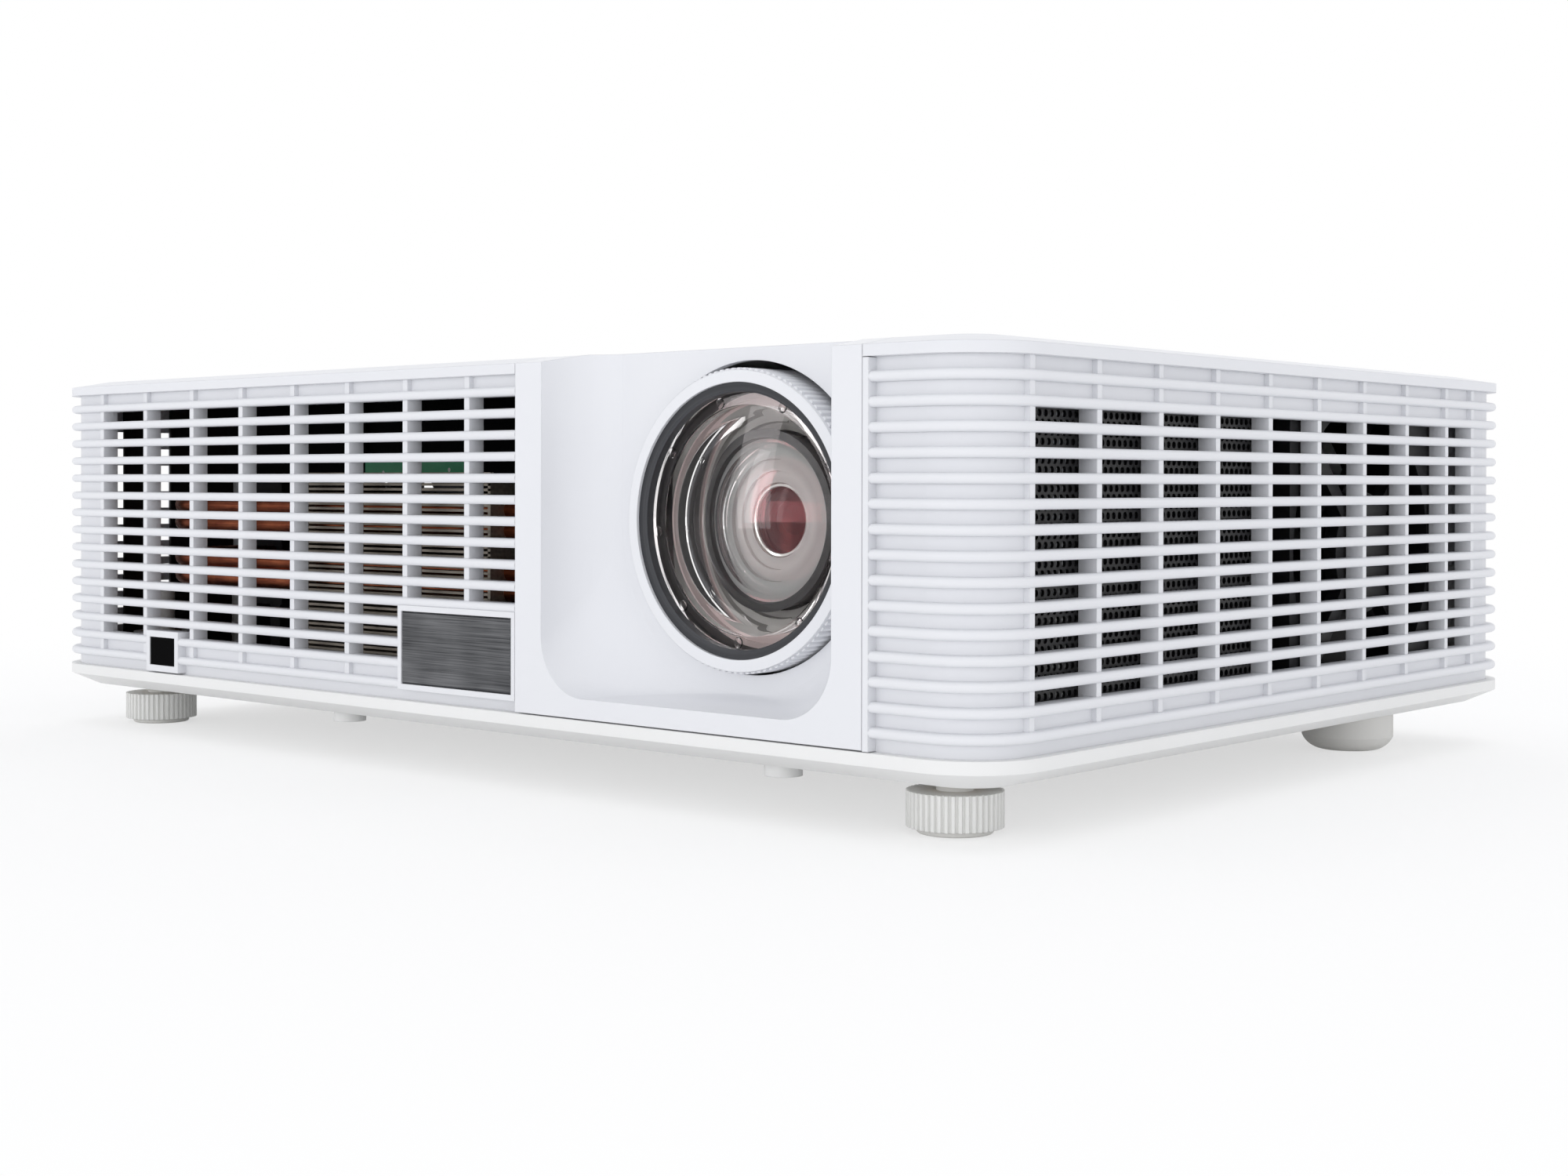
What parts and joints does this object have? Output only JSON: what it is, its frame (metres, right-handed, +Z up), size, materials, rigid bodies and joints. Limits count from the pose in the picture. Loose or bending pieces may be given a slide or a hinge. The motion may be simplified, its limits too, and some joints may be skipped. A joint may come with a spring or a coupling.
{
  "type": "short-throw laser projector",
  "caption": "White box-shaped short-throw projector with slatted vent walls, a lens in a scooped front recess, a knurled focus ring and screw feet.",
  "frame": {"origin": "on the table under the middle of the case", "axes": "+Z up, -Y towards the screen (front), +X to the right seen from the front"},
  "size_m": [0.408, 0.296, 0.1206],
  "materials": {
    "white_abs": "fine satin moulded ABS",
    "bezel_white": "smooth semi-gloss moulded ABS",
    "foot_white": "ribbed moulded nylon",
    "foot_rubber": "smooth white rubber",
    "badge_metal": "brushed dark nickel",
    "dark_window": "gloss infrared-pass plastic",
    "black_mesh": "black coated perforated steel",
    "keypad_grey": "satin moulded plastic",
    "light_pipe": "clear moulded plastic",
    "dark_ring": "satin dark grey anodised",
    "black_plastic": "matt black moulded plastic",
    "grey_baffle": "matt grey moulded plastic",
    "lens_glass": "coated optical glass",
    "cast_metal": "black coated die-cast metal",
    "fin_metal": "rolled aluminium fins",
    "copper": "bare copper",
    "pcb": "green solder-masked board",
    "steel": "plated steel",
    "insert_brass": "turned brass",
    "filter_wheel": "dichroic coated glass",
    "phosphor": "phosphor coated aluminium"
  },
  "bodies": {
    "root": {"base_tray": "white_abs", "top_cover": "white_abs", "front_grille": "white_abs", "left_grille": "white_abs", "right_grille": "white_abs", "rear_panel": "white_abs", "lens_bezel": "bezel_white", "rear_feet": "foot_rubber", "badge_plate": "badge_metal", "ir_window": "dark_window", "intake_mesh": "black_mesh", "keypad_plate": "keypad_grey", "indicator_lights": "light_pipe", "front_retainer": "dark_ring", "lens_barrel": "black_plastic", "fan_frames": "black_plastic", "speaker": "black_plastic", "ac_inlet": "black_plastic", "audio_jacks": "black_plastic", "baffle_cone": "grey_baffle", "front_element": "lens_glass", "light_tunnel": "lens_glass", "engine_housing": "cast_metal", "laser_bank": "cast_metal", "dmd_heatsink": "fin_metal", "laser_heatsink": "fin_metal", "heat_pipes": "copper", "main_board": "pcb", "dmd_board": "pcb", "power_supply_board": "pcb", "driver_board": "pcb", "keypad_board": "pcb", "board_standoffs": "steel", "screws": "steel", "wheel_motors": "steel", "hdmi_ports": "steel", "lan_port": "steel", "usb_port": "steel", "vga_port": "steel", "threaded_inserts": "insert_brass"},
    "focus_ring": {"focus_ring": "bezel_white"},
    "right_foot_knob": {"right_foot_knob": "foot_white"},
    "left_foot_knob": {"left_foot_knob": "foot_white"},
    "right_foot_pad": {"right_foot_pad": "foot_rubber"},
    "left_foot_pad": {"left_foot_pad": "foot_rubber"},
    "power_button": {"power_button": "keypad_grey"},
    "menu_button": {"menu_button": "keypad_grey"},
    "source_button": {"source_button": "keypad_grey"},
    "up_button": {"up_button": "keypad_grey"},
    "down_button": {"down_button": "keypad_grey"},
    "left_button": {"left_button": "keypad_grey"},
    "right_button": {"right_button": "keypad_grey"},
    "enter_button": {"enter_button": "keypad_grey"},
    "focus_group": {"focus_cell": "black_plastic", "second_element": "lens_glass", "rear_element": "lens_glass"},
    "intake_fan_rotor": {"intake_fan_rotor": "black_plastic"},
    "exhaust_fan_rotor": {"exhaust_fan_rotor": "black_plastic"},
    "colour_wheel": {"colour_wheel": "filter_wheel"},
    "phosphor_wheel": {"phosphor_wheel": "phosphor"}
  },
  "joints": [
    {"name": "right_foot_travel", "type": "slide", "parent": "root", "child": "right_foot_pad", "axis": [0, 0, -1], "range_m": [-0.003, 0.012]},
    {"name": "right_foot_turn", "type": "hinge", "parent": "right_foot_pad", "child": "right_foot_knob", "pos_m": [0.175, -0.1216, 0.006], "axis": [0, 0, -1], "range_deg": [-540, 2160]},
    {"name": "left_foot_travel", "type": "slide", "parent": "root", "child": "left_foot_pad", "axis": [0, 0, -1], "range_m": [-0.003, 0.012]},
    {"name": "left_foot_turn", "type": "hinge", "parent": "left_foot_pad", "child": "left_foot_knob", "pos_m": [-0.175, -0.1216, 0.006], "axis": [0, 0, -1], "range_deg": [-540, 2160]},
    {"name": "focus_turn", "type": "hinge", "parent": "root", "child": "focus_ring", "pos_m": [0.117, -0.128, 0.075], "axis": [0, 1, 0], "range_deg": [-30, 30]},
    {"name": "focus_travel", "type": "slide", "parent": "root", "child": "focus_group", "axis": [0, 1, 0], "range_m": [-0.00105, 0.00105]},
    {"name": "intake_fan_spin", "type": "hinge", "parent": "root", "child": "intake_fan_rotor", "pos_m": [0.184, 0.052, 0.0643], "axis": [1, 0, 0], "continuous": true},
    {"name": "exhaust_fan_spin", "type": "hinge", "parent": "root", "child": "exhaust_fan_rotor", "pos_m": [-0.184, -0.022, 0.0643], "axis": [1, 0, 0], "continuous": true},
    {"name": "colour_wheel_spin", "type": "hinge", "parent": "root", "child": "colour_wheel", "pos_m": [0.0289, -0.0202, 0.055], "axis": [1, 0, 0], "continuous": true},
    {"name": "phosphor_wheel_spin", "type": "hinge", "parent": "root", "child": "phosphor_wheel", "pos_m": [-0.03, -0.0202, 0.047], "axis": [0, 1, 0], "continuous": true},
    {"name": "power_press", "type": "slide", "parent": "root", "child": "power_button", "axis": [0, 0, -1], "range_m": [0, 0.0008], "stiffness_N_per_m": 400},
    {"name": "menu_press", "type": "slide", "parent": "root", "child": "menu_button", "axis": [0, 0, -1], "range_m": [0, 0.0008], "stiffness_N_per_m": 400},
    {"name": "source_press", "type": "slide", "parent": "root", "child": "source_button", "axis": [0, 0, -1], "range_m": [0, 0.0008], "stiffness_N_per_m": 400},
    {"name": "up_press", "type": "slide", "parent": "root", "child": "up_button", "axis": [0, 0, -1], "range_m": [0, 0.0008], "stiffness_N_per_m": 400},
    {"name": "down_press", "type": "slide", "parent": "root", "child": "down_button", "axis": [0, 0, -1], "range_m": [0, 0.0008], "stiffness_N_per_m": 400},
    {"name": "left_press", "type": "slide", "parent": "root", "child": "left_button", "axis": [0, 0, -1], "range_m": [0, 0.0008], "stiffness_N_per_m": 400},
    {"name": "right_press", "type": "slide", "parent": "root", "child": "right_button", "axis": [0, 0, -1], "range_m": [0, 0.0008], "stiffness_N_per_m": 400},
    {"name": "enter_press", "type": "slide", "parent": "root", "child": "enter_button", "axis": [0, 0, -1], "range_m": [0, 0.0008], "stiffness_N_per_m": 400}
  ],
  "couplings": [
    {"joint": "right_foot_turn", "follows": "right_foot_travel", "rad_per_m": 3141.6},
    {"joint": "left_foot_turn", "follows": "left_foot_travel", "rad_per_m": 3141.6},
    {"joint": "focus_travel", "follows": "focus_turn", "m_per_rad": 0.002}
  ]
}
